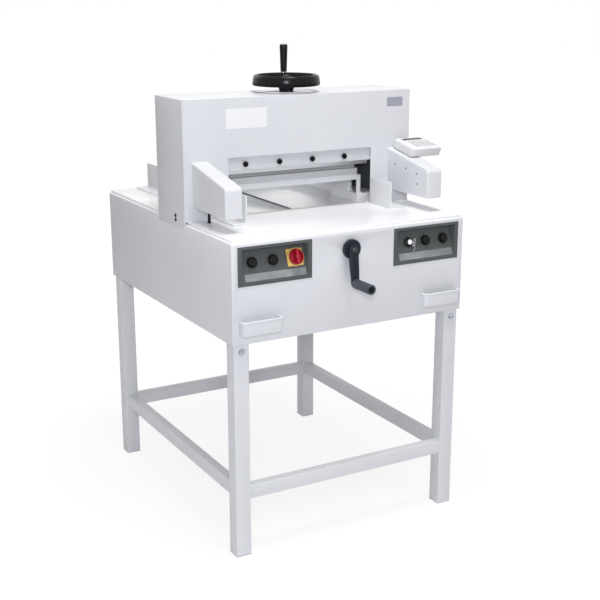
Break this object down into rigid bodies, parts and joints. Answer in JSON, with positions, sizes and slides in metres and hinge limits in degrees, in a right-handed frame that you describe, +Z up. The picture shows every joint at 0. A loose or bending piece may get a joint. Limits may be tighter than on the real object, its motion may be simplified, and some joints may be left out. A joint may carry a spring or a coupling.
{
  "type": "stack paper cutter",
  "caption": "Floor-standing guillotine for paper stacks with a hand-wheel clamp, a cranked back gauge, a slanting knife stroke, light-barrier arms and a display, on a tube stand.",
  "frame": {"origin": "on the floor under the middle of the machine's overall box", "axes": "+Z up, -Y towards the operator, +X to the operator's right"},
  "size_m": [0.8, 1.01, 1.38],
  "materials": {
    "stand_paint": "light grey powder coat",
    "housing_paint": "light grey powder coat",
    "table_paint": "white powder coat",
    "foot_plastic": "moulded",
    "frame_paint": "dark grey primer",
    "cast_frame": "dark painted casting",
    "bed_steel": "ground",
    "knife_steel": "ground and honed",
    "stick_plastic": "smooth",
    "clamp_paint": "satin",
    "clamp_aluminium": "milled",
    "bearing_bronze": "turned",
    "machined_steel": "turned",
    "black_steel": "blackened",
    "black_plastic": "fine grained",
    "panel_plastic": "fine grained",
    "crank_plastic": "fine grained",
    "yellow_plastic": "glossy",
    "red_plastic": "glossy",
    "lock_chrome": "polished",
    "display_plastic": "fine grained",
    "drive_paint": "grey enamel"
  },
  "bodies": {
    "machine": {"legs": "stand_paint", "stretchers": "stand_paint", "cabinet_front": "housing_paint", "cabinet_sides": "housing_paint", "cabinet_rear": "housing_paint", "upper_cover": "housing_paint", "rear_cover": "housing_paint", "arm_left": "housing_paint", "arm_right": "housing_paint", "front_guides": "housing_paint", "rear_guides": "housing_paint", "side_lays": "housing_paint", "pull_handles": "housing_paint", "electrical_box": "housing_paint", "table_front": "table_paint", "side_tables": "table_paint", "leg_caps": "foot_plastic", "base_frame": "frame_paint", "uprights": "cast_frame", "crossbeam": "cast_frame", "bed_beams": "cast_frame", "bed": "bed_steel", "cutting_stick": "stick_plastic", "bearings": "bearing_bronze", "knife_guides": "bearing_bronze", "gauge_rods": "machined_steel", "leg_bolts": "machined_steel", "arm_fittings": "black_plastic", "power_inlet": "black_plastic", "button_collars": "black_plastic", "control_panels": "panel_plastic", "switch_plate": "yellow_plastic", "lock_barrel": "lock_chrome", "display_unit": "display_plastic", "knife_motor": "drive_paint", "knife_gearbox": "drive_paint"},
    "knife": {"knife_carrier": "housing_paint", "knife_blade": "knife_steel", "knife_bolts": "black_steel", "pull_rod": "cast_frame"},
    "knife_crank": {"crank_disc": "cast_frame"},
    "clamp": {"clamp_beam": "clamp_paint", "clamp_sole": "clamp_aluminium", "clamp_nut": "bearing_bronze", "clamp_rods": "machined_steel"},
    "wheel": {"hand_wheel": "black_plastic", "clamp_spindle": "machined_steel"},
    "wheel_handle": {"wheel_grip": "black_plastic"},
    "gauge": {"back_gauge": "bed_steel", "gauge_carriage": "cast_frame"},
    "crank": {"crank_handle": "crank_plastic", "gauge_spindle": "machined_steel"},
    "crank_knob": {"crank_grip": "crank_plastic"},
    "button_left_outer": {"left_outer_button": "black_plastic"},
    "button_left_inner": {"left_inner_button": "black_plastic"},
    "button_right_inner": {"right_inner_button": "black_plastic"},
    "button_right_outer": {"right_outer_button": "black_plastic"},
    "main_switch": {"switch_knob": "red_plastic"},
    "lock_key": {"key": "lock_chrome"},
    "hanging_key": {"spare_key": "lock_chrome"}
  },
  "joints": [
    {"name": "knife_slide", "type": "slide", "parent": "machine", "child": "knife", "axis": [0.2925, 0, -0.9563], "range_m": [0, 0.12308]},
    {"name": "knife_crank_turn", "type": "hinge", "parent": "machine", "child": "knife_crank", "pos_m": [-0.26452, -0.095, 0.74465], "axis": [0, 1, 0], "range_deg": [0, 180]},
    {"name": "clamp_slide", "type": "slide", "parent": "machine", "child": "clamp", "axis": [0, 0, -1], "range_m": [0, 0.0695]},
    {"name": "wheel_turn", "type": "hinge", "parent": "machine", "child": "wheel", "pos_m": [-0.0225, -0.013, 1.25], "axis": [0, 0, -1], "range_deg": [0, 2503]},
    {"name": "wheel_handle_spin", "type": "hinge", "parent": "wheel", "child": "wheel_handle", "pos_m": [0.01451, 0.07013, 1.3], "axis": [0, 0, 1], "continuous": true},
    {"name": "gauge_slide", "type": "slide", "parent": "machine", "child": "gauge", "axis": [0, 1, 0], "range_m": [-0.392, 0.027]},
    {"name": "crank_turn", "type": "hinge", "parent": "machine", "child": "crank", "pos_m": [-0.0335, -0.405, 0.85], "axis": [0, 1, 0], "range_deg": [-14115, 975]},
    {"name": "crank_knob_spin", "type": "hinge", "parent": "crank", "child": "crank_knob", "pos_m": [-0.0335, -0.465, 0.757], "axis": [0, 1, 0], "continuous": true},
    {"name": "main_switch_turn", "type": "hinge", "parent": "machine", "child": "main_switch", "pos_m": [-0.1995, -0.37628, 0.841], "axis": [0, 0.9455, -0.3256], "range_deg": [0, 90]},
    {"name": "key_turn", "type": "hinge", "parent": "machine", "child": "lock_key", "pos_m": [0.1725, -0.37628, 0.841], "axis": [0, 0.9455, -0.3256], "range_deg": [0, 60]},
    {"name": "hanging_key_swing", "type": "hinge", "parent": "lock_key", "child": "hanging_key", "pos_m": [0.1725, -0.40465, 0.85077], "axis": [1, 0, 0], "range_deg": [-70, 15]},
    {"name": "left_outer_press", "type": "slide", "parent": "machine", "child": "button_left_outer", "axis": [0, 0.9455, -0.3256], "range_m": [0, 0.004], "stiffness_N_per_m": 800},
    {"name": "left_inner_press", "type": "slide", "parent": "machine", "child": "button_left_inner", "axis": [0, 0.9455, -0.3256], "range_m": [0, 0.004], "stiffness_N_per_m": 800},
    {"name": "right_inner_press", "type": "slide", "parent": "machine", "child": "button_right_inner", "axis": [0, 0.9455, -0.3256], "range_m": [0, 0.004], "stiffness_N_per_m": 800},
    {"name": "right_outer_press", "type": "slide", "parent": "machine", "child": "button_right_outer", "axis": [0, 0.9455, -0.3256], "range_m": [0, 0.004], "stiffness_N_per_m": 800}
  ],
  "couplings": [
    {"joint": "knife_crank_turn", "follows": "knife_slide", "rad_per_m": 25.52},
    {"joint": "wheel_turn", "follows": "clamp_slide", "rad_per_m": 628.32},
    {"joint": "crank_turn", "follows": "gauge_slide", "rad_per_m": 628.32}
  ]
}
